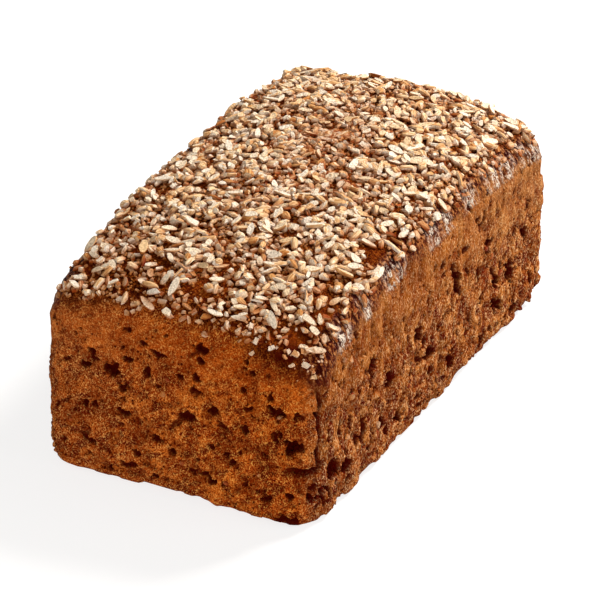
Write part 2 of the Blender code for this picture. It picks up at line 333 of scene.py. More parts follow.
baking = random.Random(4)
far_end_pits = hidden_pits(baking, HALF_WIDTH)
far_side_pits = hidden_pits(baking, HALF_LENGTH)
wall_pits(END_PITS, "end", baking)
wall_pits(SIDE_PITS, "side", baking)
wall_pits(far_end_pits, "far_end", baking)
wall_pits(far_side_pits, "far_side", baking)
wall_pits(SMALL_END_PITS, "end", baking)
wall_pits(SMALL_SIDE_PITS, "side", baking)
for middle, level, length, gap, lean in END_GASHES:
    wall_pits([(middle, level, length, gap)], "end", baking, GASH_DEPTH, math.radians(lean))

# Then the many small ones, thicker towards the base. Those of the long sides are drawn out
# upwards; those of the ends are a little wider than tall
walls = np.flatnonzero((steep > 0.9) & (points[:, 2] > 0.002) & (free < 0.3))
long_sides = walls[endward[walls] < 0.2]
for _ in range(UPRIGHT_PITS):
    place = int(long_sides[baking.randrange(len(long_sides))])
    if baking.random() < 0.80 * smooth(0.026, 0.050, points[place, 2]):
        continue
    width = MM * (1.0 + 1.3 * baking.random() ** 2)
    height = width * baking.uniform(1.4, 2.8)
    outward = normals[place] * (1, 1, 0)
    outward = outward / np.linalg.norm(outward)
    depth = width * baking.uniform(0.8, 1.2)
    press(baking, points[place], outward, width, height, depth, baking.uniform(-0.5, 0.15))
for _ in range(SMALL_PITS):
    place = int(walls[baking.randrange(len(walls))])
    if baking.random() < 0.70 * smooth(0.012, 0.060, points[place, 2]):
        continue
    size = MM * (0.9 + 2.0 * baking.random() ** 3.2)
    stretch = baking.uniform(0.8, 1.7)
    lean = baking.uniform(-0.9, 0.9)
    depth = size * baking.uniform(0.40, 0.80)
    outward = normals[place] * (1, 1, 0)
    outward = outward / np.linalg.norm(outward)
    press(baking, points[place], outward, size * stretch, size, depth, lean)

relief -= sunk * steep
relief *= smooth(-0.995, -0.88, normals[:, 2])
points += normals * relief[:, None]
points[:, 2] += RIM_RAISED_BY * raised
points[:, 2] = np.where(points[:, 2] < MM / 5, 0, points[:, 2])
points = np.clip(points, cad_box[0], cad_box[1])
crust.data.vertices.foreach_set("co", points.ravel())
crust.data.update()

# Flour from the bench and painted sheen, caught by the ridges of the roll in a few places
FLOUR_AND_SHEEN_PLACES = ((-64, 6), (-49, 4), (-27, 9), (-1, 5), (9, 5), (28, 6), (45, 8), (55, 7), (72, 9))
flour_and_sheen_mask = np.zeros(len(points))
for middle, reach in FLOUR_AND_SHEEN_PLACES:
    flour_and_sheen_mask = np.maximum(flour_and_sheen_mask, 1 - abs(points[:, 0] / MM - middle) / reach)
flour_and_sheen_mask = np.clip(1.6 * flour_and_sheen_mask, 0, 1) * smooth(0.12, 0.32, normals[:, 2])
flour_and_sheen_mask *= (1 - smooth(0.55, 0.86, normals[:, 2])) * (1 - endward)
flour_and_sheen_mask *= smooth(-0.30, 0.15, ridges)

# Along the base's rim, where it meets the table, the crust is painted darkest: painted contact
# shadow. High up on the walls, away from the near corner, it is palest
base_contact_shadow = 1 - smooth(0.0004, 0.0036, points[:, 2])
paler_away_from_corner = np.where(
    endward > 0.5,
    0.6 * smooth(0.0, 0.045, points[:, 1]),
    smooth(-0.010, 0.080, points[:, 0]),
)
paler_away_from_corner *= smooth(0.022, 0.050, points[:, 2])

# The ends are browner than the sides, and the corner is scorched
# The end that shows is painted darker and redder still, most towards the near corner: painted shade
baked = endward * (0.80 - 0.25 * smooth(-0.040, 0.045, points[:, 1]))
baked *= np.where(points[:, 0] < 0, 1, 0.35)
scorched = near_corner * smooth(-0.35, 0.25, lumps(points, 0.0040, (3, 3, 3)))
# The pits, the groove and the crease are painted darker the deeper they are: painted shade
PIT_SHADE_DARKEST_AT_DEPTH = 0.0019
hollow = np.maximum(sunk / PIT_SHADE_DARKEST_AT_DEPTH, 0.9 * fold_shade)
# The rough places take in the base's painted contact shadow too
rough = np.maximum.reduce(
    (torn, 0.8 * open_crumb, 0.6 * flaky, 0.7 * slits, 0.3 * troughs, base_contact_shadow)
)

for name, values in (
    ("hollow", np.clip(hollow, 0, 1)),
    ("rough", np.clip(rough, 0, 1)),
    ("skin", skin * wall),
    ("free", free),
    ("paler_away_from_corner", paler_away_from_corner),
    ("scorched", scorched),
    ("roll", roll),
    ("flour_and_sheen", flour_and_sheen_mask),
    ("baked", baked),
):
    layer = crust.data.attributes.new(name, "FLOAT", "POINT")
    layer.data.foreach_set("value", values.astype(np.float32))

crust.data.calc_loop_triangles()
apply_to(
    crust,
    "DECIMATE",
    ratio=CRUST_TRIANGLES / len(crust.data.loop_triangles),
    use_collapse_triangulate=True,
)
inside = np.clip(read(crust.data.vertices, "co"), cad_box[0], cad_box[1])
crust.data.vertices.foreach_set("co", inside.ravel())
crust.data.update()
bpy.ops.object.shade_smooth()


def start_material(name):
    """A new material: its node tree, its shader and its Object coordinates."""
    material = bpy.data.materials.new(name)
    material.use_nodes = True
    tree = material.node_tree
    shader = tree.nodes["Principled BSDF"]
    where = tree.nodes.new("ShaderNodeTexCoord").outputs["Object"]
    return material, tree, shader, where


def speckle(tree, where, scale, detail=2.0, rough=0.5):
    """Even noise of this scale, from 0 to 1."""
    made = tree.nodes.new("ShaderNodeTexNoise")
    made.inputs["Scale"].default_value = scale
    made.inputs["Detail"].default_value = detail
    made.inputs["Roughness"].default_value = rough
    tree.links.new(where, made.inputs["Vector"])
    return made.outputs["Fac"]


def steps(tree, value, *stops):
    """A value turned into a colour or a grey by (place, value) stops."""
    made = tree.nodes.new("ShaderNodeValToRGB")
    ramp = made.color_ramp
    while len(ramp.elements) < len(stops):
        ramp.elements.new(0.5)
    for element, (place, colour) in zip(ramp.elements, stops):
        element.position = place
        element.color = (*colour, 1) if isinstance(colour, tuple) else (colour,) * 3 + (1,)
    tree.links.new(value, made.inputs["Fac"])
    return made.outputs["Color"]


def blend(tree, share, first, second):
    """The first colour where share is 0, the second where it is 1."""
    made = tree.nodes.new("ShaderNodeMix")
    made.data_type = "RGBA"
    for socket, value in ((made.inputs[0], share), (made.inputs[6], first), (made.inputs[7], second)):
        if isinstance(value, (tuple, float)):
            socket.default_value = (*value, 1) if isinstance(value, tuple) else value
        else:
            tree.links.new(value, socket)
    return made.outputs[2]


def sums(tree, operation, first, second):
    """Two values, put together by a Math node."""
    made = tree.nodes.new("ShaderNodeMath")
    made.operation = operation
    for socket, value in zip(made.inputs, (first, second)):
        if isinstance(value, (int, float)):
            socket.default_value = value
        else:
            tree.links.new(value, socket)
    return made.outputs[0]


def mult(tree, first, second):
    """One value times another."""
    return sums(tree, "MULTIPLY", first, second)


def drawn_out(tree, where, scale, lean=0.0, kind="POINT"):
    """Places scaled along each axis, and leaning about X by an angle in degrees."""
    made = tree.nodes.new("ShaderNodeMapping")
    made.vector_type = kind
    made.inputs["Rotation"].default_value = (math.radians(lean), 0, 0)
    made.inputs["Scale"].default_value = scale
    tree.links.new(where, made.inputs["Vector"])
    return made.outputs["Vector"]


def raise_by(tree, shader, height, distance):
    """Makes the surface stand up where height is greater, by at most this distance."""
    bump = tree.nodes.new("ShaderNodeBump")
    bump.inputs["Strength"].default_value = 1.0
    bump.inputs["Distance"].default_value = distance
    tree.links.new(height, bump.inputs["Height"])
    tree.links.new(bump.outputs["Normal"], shader.inputs["Normal"])


def layer_of(tree, name):
    """The value of a mesh's own attribute."""
    made = tree.nodes.new("ShaderNodeAttribute")
    made.attribute_name = name
    return made.outputs["Fac"]


# The crust's browns, each from its dark patches to its pale ones, and the marks on them
SIDE_BROWNS = (0.24, 0.040, 0.002), (0.37, 0.090, 0.009), (0.50, 0.160, 0.028)
# The END_ colours are darker and redder than the SIDE_ ones: partly the ends' browner bake, partly
# painted shade
END_BROWNS_AND_SHADE = (0.18, 0.011, 0.0002), (0.40, 0.040, 0.0005), (0.64, 0.110, 0.0035)
TOP_BROWNS = (0.036, 0.0015, 0.0001), (0.080, 0.006, 0.0002), (0.24, 0.040, 0.002)
ROLL_BROWNS_SHADE_AND_SHEEN = (0.030, 0.001, 0.0001), (0.12, 0.014, 0.001), (0.44, 0.170, 0.050)
SIDE_SKIN, END_SKIN = (0.30, 0.086, 0.012), (0.41, 0.067, 0.003)
SIDE_PALER, END_PALER = (0.60, 0.27, 0.090), (0.62, 0.115, 0.005)
SIDE_CRUMBS, END_CRUMBS = (0.75, 0.43, 0.20), (1.0, 0.43, 0.055)
SIDE_PIT_SHADE, END_PIT_SHADE = (0.066, 0.0010, 0.0001), (0.047, 0.0011, 0.0001)
BRUISE, DARK_GRAIN, PORE_SHADE = (0.14, 0.008, 0.0001), (0.070, 0.0025, 0.0001), (0.055, 0.002, 0.0001)
TORN_AND_BASE_SHADOW, SCORCHED, BRAN_DUST = (0.12, 0.010, 0.0003), (0.065, 0.003, 0.0002), (0.40, 0.100, 0.010)
FLOUR_AND_SHEEN_WHITE = (0.78, 0.68, 0.56)


def crust_material(name, shine):
    """Baked rye crust: golden brown and grainy on the walls, darker and glossier on top."""
    material, tree, shader, where = start_material(name)

    # The grain is drawn out upwards on the sides, and its blotches slant on the ends
    baked = layer_of(tree, "baked")
    skin = layer_of(tree, "skin")
    upright = drawn_out(tree, where, (1, 1, 0.50))
    slanting = drawn_out(tree, where, (1, 2.0, 1), -28, "TEXTURE")
    on_end = steps(tree, baked, (0.06, 0.0), (0.16, 1.0))
    patches = speckle(tree, where, 95, 3, 0.6)
    blotches = blend(tree, on_end, speckle(tree, upright, 300, 3, 0.6),
                     speckle(tree, slanting, 330, 3, 0.6))
    mid = blend(tree, on_end, speckle(tree, upright, 800, 2, 0.6),
                speckle(tree, where, 620, 2, 0.6))
    fine = blend(tree, on_end, speckle(tree, upright, 2300, 2, 0.6),
                 speckle(tree, where, 2000, 2, 0.6))

    # The walls: brown in patches, smoother where the skin is whole, bruised in blotches
    side = steps(tree, patches, *zip((0.36, 0.48, 0.62), SIDE_BROWNS))
    end = steps(tree, patches, *zip((0.36, 0.48, 0.62), END_BROWNS_AND_SHADE))
    # baked brings in the ends' browner bake and the painted shade of the end that shows
    wall = blend(tree, baked, side, end)
    wall = blend(tree, mult(tree, skin, 0.50), wall, blend(tree, on_end, SIDE_SKIN, END_SKIN))
    # Paler high on the walls and away from the near corner
    paler_away_from_corner = mult(tree, layer_of(tree, "paler_away_from_corner"), 0.32)
    wall = blend(tree, paler_away_from_corner, wall, blend(tree, baked, SIDE_PALER, END_PALER))
    bruised = mult(tree,
                   steps(tree, blotches, (0.38, 1.0), (0.51, 0.0)),
                   steps(tree, skin, (0.0, 1.0), (1.0, 0.45)))
    wall = blend(tree, bruised, wall, BRUISE)

    # Pale and dark grains of crumb, fainter where the skin is whole
    pale = mult(tree,
                steps(tree, fine, (0.50, 0.0), (0.62, 1.0)),
                steps(tree, mid, (0.40, 0.20), (0.58, 1.00)))
    pale = mult(tree, pale, steps(tree, skin, (0.0, 1.0), (1.0, 0.70)))
    pale = mult(tree, pale, steps(tree, on_end, (0.0, 1.0), (1.0, 0.80)))
    crumbs = blend(tree, baked, SIDE_CRUMBS, END_CRUMBS)
    wall = blend(tree, pale, wall, crumbs)
    dark = mult(tree,
                steps(tree, fine, (0.38, 1.0), (0.51, 0.0)),
                steps(tree, mid, (0.42, 1.0), (0.60, 0.30)))
    dark = mult(tree, dark, steps(tree, skin, (0.0, 1.0), (1.0, 0.50)))
    wall = blend(tree, dark, wall, DARK_GRAIN)

    # Pores in the open crumb, torn places and the insides of the pits; pores and pits are painted
    # shade
    pore_cells = tree.nodes.new("ShaderNodeTexVoronoi")
    pore_cells.inputs["Scale"].default_value = 620
    tree.links.new(where, pore_cells.inputs["Vector"])
    pores = steps(tree, pore_cells.outputs["Distance"], (0.16, 1.0), (0.32, 0.0))
    rough = layer_of(tree, "rough")
    open_crumb = sums(tree, "ADD", rough,
                      steps(tree, speckle(tree, where, 210, 3), (0.48, 0.0), (0.62, 0.7)))
    pores = mult(tree, pores, open_crumb)
    pores.node.use_clamp = True
    # The pores are painted near black: painted shade inside them
    wall = blend(tree, pores, wall, PORE_SHADE)
    # The torn colour also paints the base's contact shadow
    wall = blend(tree, mult(tree, rough, 0.50), wall, TORN_AND_BASE_SHADOW)
    # Painted shade in the pits, the groove and the crease
    hollow = layer_of(tree, "hollow")
    wall = blend(tree, steps(tree, hollow, (0.06, 0.0), (0.38, 0.80), (0.8, 0.98)),
                 wall, blend(tree, baked, SIDE_PIT_SHADE, END_PIT_SHADE))

    # The free crust on top, dusted with bran, and the stretched roll beside it
    strands = speckle(tree, drawn_out(tree, where, (1, 0.48, 0.48)), 1150, 3, 0.65)
    shade = sums(tree, "ADD", mult(tree, patches, 0.6), mult(tree, mid, 0.4))
    top = steps(tree, shade, *zip((0.40, 0.52, 0.64), TOP_BROWNS))
    bran_dust = mult(tree,
                     steps(tree, fine, (0.48, 0.0), (0.58, 0.65)),
                     steps(tree, mid, (0.42, 0.15), (0.55, 1.0)))
    top = blend(tree, bran_dust, top, BRAN_DUST)
    scorched = mult(tree, layer_of(tree, "scorched"), 0.95)
    top = blend(tree, scorched, top, SCORCHED)
    roll = layer_of(tree, "roll")
    # Roll: paler raised streaks, darker grooves; partly its own colour, partly painted sheen and shade
    top = blend(tree, roll, top, steps(tree, strands, *zip((0.43, 0.52, 0.61), ROLL_BROWNS_SHADE_AND_SHEEN)))
    free_crust = layer_of(tree, "free")
    colour = blend(tree, free_crust, wall, top)

    # Flour and painted sheen lie in grainy streaks on the roll
    flour_and_sheen = mult(tree, layer_of(tree, "flour_and_sheen"), steps(tree, strands, (0.45, 0.0), (0.52, 1.0)))
    flour_and_sheen = mult(tree, flour_and_sheen, steps(tree, fine, (0.42, 0.25), (0.52, 1.0)))
    colour = blend(tree, flour_and_sheen, colour, FLOUR_AND_SHEEN_WHITE)
    tree.links.new(colour, shader.inputs["Base Color"])
    gloss = blend(tree, free_crust, (0.85, 0.85, 0.85), (0.36, 0.36, 0.36))
    gloss = blend(tree, flour_and_sheen, gloss, (0.80, 0.80, 0.80))
    tree.links.new(gloss, shader.inputs["Roughness"])
    shader.inputs["Specular IOR Level"].default_value = shine

    # The grain stands up from the crust and the pores are sunk into it
    height = sums(tree, "ADD", mult(tree, fine, 0.75), mult(tree, mid, 1.0))
    height = sums(tree, "ADD", height, mult(tree, blotches, 0.8))
    streaks = mult(tree, strands, roll)
    height = sums(tree, "ADD", height, mult(tree, streaks, 1.4))
    height = sums(tree, "SUBTRACT", height, mult(tree, pores, 0.30))
    raise_by(tree, shader, height, 0.001)
    return material


# Faces whose three corners lie on the roll by this much in all get the glossier crust
ON_THE_ROLL = 1.2
crust.data.materials.append(crust_material("tin_crust", 0.01))
crust.data.materials.append(crust_material("rolled_crust", 0.03))
rolled = np.empty(len(crust.data.vertices), dtype=np.float32)
crust.data.attributes["roll"].data.foreach_get("value", rolled)
for face in crust.data.polygons:
    face.material_index = int(sum(rolled[corner] for corner in face.vertices) > ON_THE_ROLL)
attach(crust, "root")
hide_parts("loaf")

# Meal: specks of flour and bran from the cracking, which cling to the crust everywhere between
# the larger pieces. Each is a small uneven block.
MEAL_SPECKS = 4800
SPECK = (0.9 * MM, 0.7 * MM, 0.6 * MM)
CELL = 0.00025
MARGIN = 20
HIGHEST = cad_box[1][2] - MM / 4
PRESSED_IN = 0.30
PILED_UP_TO = 0.0013
FARTHEST_POINT = 0.0022

# How high the topping has grown over each cell of the crust, where nothing lies yet
bed_of = BVHTree.FromObject(crust, bpy.context.evaluated_depsgraph_get())
bed = np.zeros((int(LENGTH / CELL) + 2 * MARGIN, int(WIDTH / CELL) + 2 * MARGIN))

# Bare places as X, Y and reach, all in millimetres
BARE = (
    (-84, -32, 6), (-76, -38, 6), (-64, -43, 5), (-85, -42, 5), (-86, -25, 4), (-30, -43, 8),
    (-18, -44, 6), (-52, -46, 4), (8, -46, 4), (32, -46, 4), (58, -44, 5), (71, -42, 4),
)


def strewn(x, y, normal):
    """How thickly the rye lies at a place on the top, from 0 to 1."""
    endward = abs(normal[0]) / (abs(normal[0]) + abs(normal[1]) + 1e-9)
    edge = 0.57 + 0.05 * smooth(0.35, 0.65, endward)
    thick = smooth(edge - 0.10, edge + 0.24, normal[2])
    thick *= 0.55 + 0.45 * smooth(-0.30, 0.05, noise.noise((x / 0.010, y / 0.010, 0.3)))
    thick *= 0.58 + 0.42 * smooth(-0.086, -0.030, x)
    thick *= 1 - 0.45 * smooth(0.034, 0.047, y)
    for bare_x, bare_y, reach in BARE:
        away = math.hypot(x / MM - bare_x, y / MM - bare_y) / reach
        thick *= 1 - 0.88 * (1 - smooth(0.45, 1.0, away))
    return thick


def cell_of(x, y):
    """The cell of the bed that a place on the top is in."""
    row = int((x + HALF_LENGTH) / CELL) + MARGIN
    column = int((y + HALF_WIDTH) / CELL) + MARGIN
    return min(max(row, 0), bed.shape[0] - 1), min(max(column, 0), bed.shape[1] - 1)


def find_place(draw, tries, steepest):
    """The lowest of a few places on the top where rye may lie, none of them too steep for it."""
    best = None
    for _ in range(tries):
        x = draw.uniform(-HALF_LENGTH, HALF_LENGTH)
        y = draw.uniform(-HALF_WIDTH, HALF_WIDTH)
        level = bed[cell_of(x, y)]
        if best is not None and level >= best[0]:
            continue
        spot, _, _, _ = bed_of.ray_cast((x, y, 1), (0, 0, -1))
        if spot is None:
            continue
        _, place, away = nearby.find(spot)
        if away > FARTHEST_POINT or normals[place][2] < steepest:
            continue
        if draw.random() < strewn(x, y, normals[place]):
            best = level, x, y, np.array(spot), normals[place]
    return best


def strew(draw, shapes, count, tries, lengths, roll, steepest):
    """Lays pieces on the top one by one, each on what lies there already."""
    laid = []
    while len(laid) < count:
        found = find_place(draw, tries, steepest)
        if found is None:
            continue
        _, x, y, spot, normal = found
        shape = draw.randrange(len(shapes))
        size = np.array(shapes[shape]["size"]) * draw.triangular(*lengths)
        size = size * [draw.uniform(0.85, 1.15) for _ in range(3)]
        bearing = draw.uniform(0, math.tau)
        heading = np.array((math.cos(bearing), math.sin(bearing), 0))
        tips = [bed[cell_of(*(spot + heading * size[0] * share)[:2])] for share in (-0.4, 0.4)]
        level = min(max(sum(tips) / 2, bed[cell_of(x, y)]), PILED_UP_TO)
        tilt = math.atan2(tips[1] - tips[0], 0.8 * size[0])
        tilt = max(-0.35, min(0.35, tilt)) + draw.uniform(-0.08, 0.08)
        low, high = shapes[shape]["low"] * size[2], shapes[shape]["high"] * size[2]
        centre = spot + normal * (level - low - PRESSED_IN * (high - low))
        tip = high + abs(math.sin(tilt)) * size[0] / 2
        centre[2] = min(centre[2], HIGHEST - tip)
        laid.append((shape, size, centre, normal, heading, tilt, draw.uniform(-roll, roll), spot))
        mark_bed(x, y, heading, size, level, tilt, 0.75 * (high - low))
    return laid


def mark_bed(x, y, heading, size, level, tilt, height):
    """Raises the bed where a piece now lies."""
    row, column = cell_of(x, y)
    span = int(size[0] / CELL / 2) + 2
    rows = np.arange(max(0, row - span), min(bed.shape[0], row + span + 1))
    columns = np.arange(max(0, column - span), min(bed.shape[1], column + span + 1))
    off_x = (rows - row)[:, None] * CELL
    off_y = (columns - column)[None, :] * CELL
    ahead = off_x * heading[0] + off_y * heading[1]
    aside = off_y * heading[0] - off_x * heading[1]
    away = (ahead / (size[0] / 2)) ** 2 + (aside / (size[1] / 2)) ** 2
    raised = level + ahead * math.tan(tilt) + height * np.sqrt(np.clip(1 - away, 0, 1))
    window = bed[rows[0]:rows[-1] + 1, columns[0]:columns[-1] + 1]
    np.copyto(window, np.maximum(window, raised), where=away < 1)


def take_shape(piece, size):
    """Keeps a modelled piece as a shape to strew: its points over its size, and its faces."""
    bpy.ops.mesh.select_all(action="SELECT")
    bpy.ops.mesh.quads_convert_to_tris()
    bpy.ops.mesh.normals_make_consistent(inside=False)
    bpy.ops.object.mode_set(mode="OBJECT")
    mesh = piece.data
    own_points = read(mesh.vertices, "co") / size
    shape = {
        "size": size,
        "points": own_points,
        "low": own_points[:, 2].min(),
        "high": own_points[:, 2].max(),
        "faces": np.array([tuple(face.vertices) for face in mesh.polygons]),
        "broken": np.array([face.material_index for face in mesh.polygons]),
    }
    bpy.data.objects.remove(piece)
    return shape


# The lowest part of each piece is painted the crust's brown, as painted shade where it lies on the
# crust and among the others: fully up to the first height, and not at all above the second
LOW_SHADE_UP_TO = (0.0001, 0.0024)


def strewn_piece(name, shapes, laid, materials, draw, tones=(0, 1)):
    """One mesh of all the pieces of a kind, each a sized and turned copy of its shape."""
    all_points, all_faces, all_broken, all_tone, all_own, all_low_shade = [], [], [], [], [], []
    start = 0
    for shape_number, size, centre, normal, heading, tilt, roll, spot in laid:
        shape = shapes[shape_number]
        heading = heading - normal * (heading @ normal)
        heading = heading / np.linalg.norm(heading)
        heading = heading * math.cos(tilt) + normal * math.sin(tilt)
        aside = np.cross(normal, heading)
        aside = aside / np.linalg.norm(aside)
        upward = np.cross(heading, aside)
        aside, upward = (
            aside * math.cos(roll) + upward * math.sin(roll),
            upward * math.cos(roll) - aside * math.sin(roll),
        )
        own = shape["points"] * size
        placed = own @ np.array((heading, aside, upward)) + centre
        tone, shift = draw.uniform(*tones), draw.uniform(0, 1)
        if (placed < cad_box[0]).any() or (placed > cad_box[1]).any():
            continue
        all_points.append(placed)
        all_own.append(own + shift)
        all_faces.append(shape["faces"] + start)
        all_broken.append(shape["broken"])
        all_tone.append(np.full(len(own), tone))
        all_low_shade.append(1 - smooth(LOW_SHADE_UP_TO[0], LOW_SHADE_UP_TO[1], (placed - spot) @ normal))
        start += len(own)
    mesh = bpy.data.meshes.new(name)
    mesh.from_pydata(np.concatenate(all_points), [], np.concatenate(all_faces))
    broken = np.concatenate(all_broken)
    mesh.polygons.foreach_set("material_index", broken.astype(np.int32))
    mesh.polygons.foreach_set("use_smooth", (broken == 0) & (name == "split_kernels"))
    layer = mesh.attributes.new("tone", "FLOAT", "POINT")
    layer.data.foreach_set("value", np.concatenate(all_tone).astype(np.float32))
    layer = mesh.attributes.new("low_shade", "FLOAT", "POINT")
    layer.data.foreach_set("value", np.concatenate(all_low_shade).astype(np.float32))
    layer = mesh.attributes.new("own_place", "FLOAT_VECTOR", "POINT")
    layer.data.foreach_set("vector", np.concatenate(all_own).astype(np.float32).ravel())
    for material in materials:
        mesh.materials.append(material)
    mesh.update()
    piece = bpy.data.objects.new(name, mesh)
    bpy.context.scene.collection.objects.link(piece)
    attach(piece, "root")


def shaded(tree, colour, shade):
    """A colour times a shade."""
    made = tree.nodes.new("ShaderNodeMix")
    made.data_type = "RGBA"
    made.blend_type = "MULTIPLY"
    made.inputs[0].default_value = 1.0
    tree.links.new(colour, made.inputs[6])
    tree.links.new(shade, made.inputs[7])
    return made.outputs[2]


def bran_material():
    """The kernel's own skin: tan, streaked along its length, toasted here and there."""
    material, tree, shader, where = start_material("rye_bran")
    own = tree.nodes.new("ShaderNodeAttribute")
    own.attribute_name = "own_place"
    streaks = speckle(tree, drawn_out(tree, own.outputs["Vector"], (0.16, 1, 1)), 2200, 2)
    skin = steps(
        tree, layer_of(tree, "tone"),
        (0.0, (0.48, 0.18, 0.040)), (0.10, (0.70, 0.39, 0.155)),
        (0.35, (0.85, 0.58, 0.315)), (0.9, (0.93, 0.74, 0.50)),
    )
    colour = shaded(tree, skin, steps(
        tree, streaks, (0.38, (0.66, 0.46, 0.30)), (0.58, (1.0, 1.0, 1.0))))
    toasted = steps(tree, speckle(tree, where, 300, 2), (0.58, 0.0), (0.70, 0.7))
    colour = blend(tree, toasted, colour, (0.55, 0.27, 0.080))
    # The lowest part is painted brown: painted shade
    colour = shaded(tree, colour, steps(
        tree, layer_of(tree, "low_shade"), (0.0, (1.0, 1.0, 1.0)), (0.9, (0.41, 0.12, 0.018))))
    tree.links.new(colour, shader.inputs["Base Color"])
    shader.inputs["Roughness"].default_value = 0.70
    shader.inputs["Specular IOR Level"].default_value = 0.10
    raise_by(tree, shader, streaks, 0.0006)
    return material


def broken_face_material():
    """The inside of a cracked kernel: creamy and floury, a little darker where bran dust sticks."""
    material, tree, shader, where = start_material("rye_broken_face")
    grain = speckle(tree, where, 1500, 3, 0.6)
    inside = steps(
        tree, layer_of(tree, "tone"),
        (0.0, (0.80, 0.53, 0.28)), (0.22, (0.90, 0.71, 0.50)), (0.8, (0.93, 0.80, 0.65)),
    )
    colour = shaded(tree, inside, steps(tree, grain, (0.38, 0.68), (0.54, 1.0)))
    # The lowest part is painted brown: painted shade
    colour = shaded(tree, colour, steps(
        tree, layer_of(tree, "low_shade"), (0.2, (1.0, 1.0, 1.0)), (1.0, (0.55, 0.23, 0.060))))
    tree.links.new(colour, shader.inputs["Base Color"])
    shader.inputs["Roughness"].default_value = 0.85
    shader.inputs["Specular IOR Level"].default_value = 0.05
    raise_by(tree, shader, grain, 0.0008)
    return material


rye = [bran_material(), broken_face_material()]
cracking = random.Random(21)
meal_shapes = []
for _ in range(8):
    bpy.ops.object.select_all(action="DESELECT")
    bpy.ops.mesh.primitive_cube_add(size=1)
    speck = bpy.context.object
    bpy.ops.object.mode_set(mode="EDIT")
    bpy.ops.transform.resize(value=SPECK)
    speck_mesh = bmesh.from_edit_mesh(speck.data)
    for corner in speck_mesh.verts:
        corner.co *= cracking.uniform(0.6, 1.25)
    for face in speck_mesh.faces:
        face.material_index = 1
    bmesh.update_edit_mesh(speck.data)
    meal_shapes.append(take_shape(speck, SPECK))
meal_laid = strew(cracking, meal_shapes, MEAL_SPECKS, tries=1, lengths=(0.4, 1.3), roll=1.5,
                  steepest=0.34)
strewn_piece("meal", meal_shapes, meal_laid, rye, cracking)

# Grits: crumbs of kernel, mostly pale inside with a bit of bran. Each is an uneven block with
# a corner or two broken off.
GRITS = 3000
SPILLED_GRITS = 64


def cut_face(piece, through, facing):
    """Cuts a piece flat at a plane, drops what is beyond it and marks the face as broken."""
    bpy.ops.mesh.select_all(action="SELECT")
    bpy.ops.mesh.bisect(
        plane_co=through, plane_no=facing, use_fill=True, clear_outer=True, threshold=1e-7
    )
    mesh = bmesh.from_edit_mesh(piece.data)
    facing = Vector(facing).normalized()
    for face in mesh.faces:
        on_plane = abs((face.calc_center_median() - Vector(through)).dot(facing)) < 1e-5
        if on_plane and face.normal.dot(facing) > 0.98:
            face.material_index = 1
    bmesh.update_edit_mesh(piece.data)


def broken_off(draw, piece, size, cuts, nearest, farthest):
    """Breaks a piece flat in a few random directions, between two shares of the way out."""
    for _ in range(cuts):
        facing = Vector([draw.uniform(-1, 1) for _ in range(3)]).normalized()
        reach = 0.5 * Vector([a * b for a, b in zip(facing, size)]).length
        cut_face(piece, facing * reach * draw.uniform(nearest, farthest), facing)
    return take_shape(piece, size)


def block_of_kernel(draw, lengths, widths, heights):
    """A small uneven block of kernel: one side of it is bran, the others are broken."""
    size = [MM * draw.uniform(*span) for span in (lengths, widths, heights)]
    bpy.ops.object.select_all(action="DESELECT")
    bpy.ops.mesh.primitive_cube_add(size=1)
    piece = bpy.context.object
    bpy.ops.object.mode_set(mode="EDIT")
    bpy.ops.transform.resize(value=size)
    mesh = bmesh.from_edit_mesh(piece.data)
    for corner in mesh.verts:
        corner.co *= draw.uniform(0.65, 1.15)
        corner.co += Vector([draw.uniform(-0.16, 0.16) * span for span in size])
    bran_side = draw.randrange(6)
    for side, face in enumerate(mesh.faces):
        face.material_index = int(side != bran_side)
    bmesh.update_edit_mesh(piece.data)
    return broken_off(draw, piece, size, cuts=2, nearest=0.75, farthest=1.05)


grit_shapes = [block_of_kernel(cracking, (1.5, 2.8), (1.1, 1.8), (0.9, 1.4)) for _ in range(20)]
grit_laid = strew(cracking, grit_shapes, GRITS, tries=2, lengths=(0.55, 1.25), roll=1.2,
                  steepest=0.44)


def stuck_on(draw, shapes, spots, proud, shade_starts_below=0.0):
    """Lays pieces of given sizes flat on the crust at given places, however steep it is."""
    laid = []
    for spot, size in spots:
        _, place, _ = nearby.find(spot)
        normal = normals[place]
        sideways = np.cross((0, 0, 1), normal)
        bearing = draw.uniform(0, math.tau)
        heading = sideways * math.cos(bearing) + np.cross(normal, sideways) * math.sin(bearing)
        shape = draw.randrange(len(shapes))
        size = np.array((size, 0.70 * size, 0.50 * size)) * MM
        centre = points[place] + normal * proud * size[2]
        roll = draw.uniform(-0.3, 0.3)
        # Measured from this far below the crust, the piece gets less painted shade
        spot = points[place] - normal * shade_starts_below
        laid.append((shape, size, centre, normal, heading, 0.0, roll, spot))
    return laid


# Some spilled over the corner between the end and the side that show
spilled = []
for _ in range(SPILLED_GRITS):
    aside = -0.052 + 0.034 * cracking.random() ** 1.4
    level = 0.0540 + 0.26 * (aside + 0.048) + 0.017 * cracking.random() ** 0.7
    inward = 0.014 * cracking.random() ** 2
    spilled.append(((-HALF_LENGTH + inward, aside, level), 0.5 + 2.2 * cracking.random() ** 2.2))
grit_laid += stuck_on(cracking, grit_shapes, spilled, proud=0.25, shade_starts_below=0.6 * MM)
strewn_piece("grits", grit_shapes, grit_laid, rye, cracking)

# Kernels broken across: blunt angular pieces, half the length of a kernel or less. Each starts
# as a whole kernel and is broken flat five times, with bran left between the breaks.
BROKEN_KERNELS = 1400


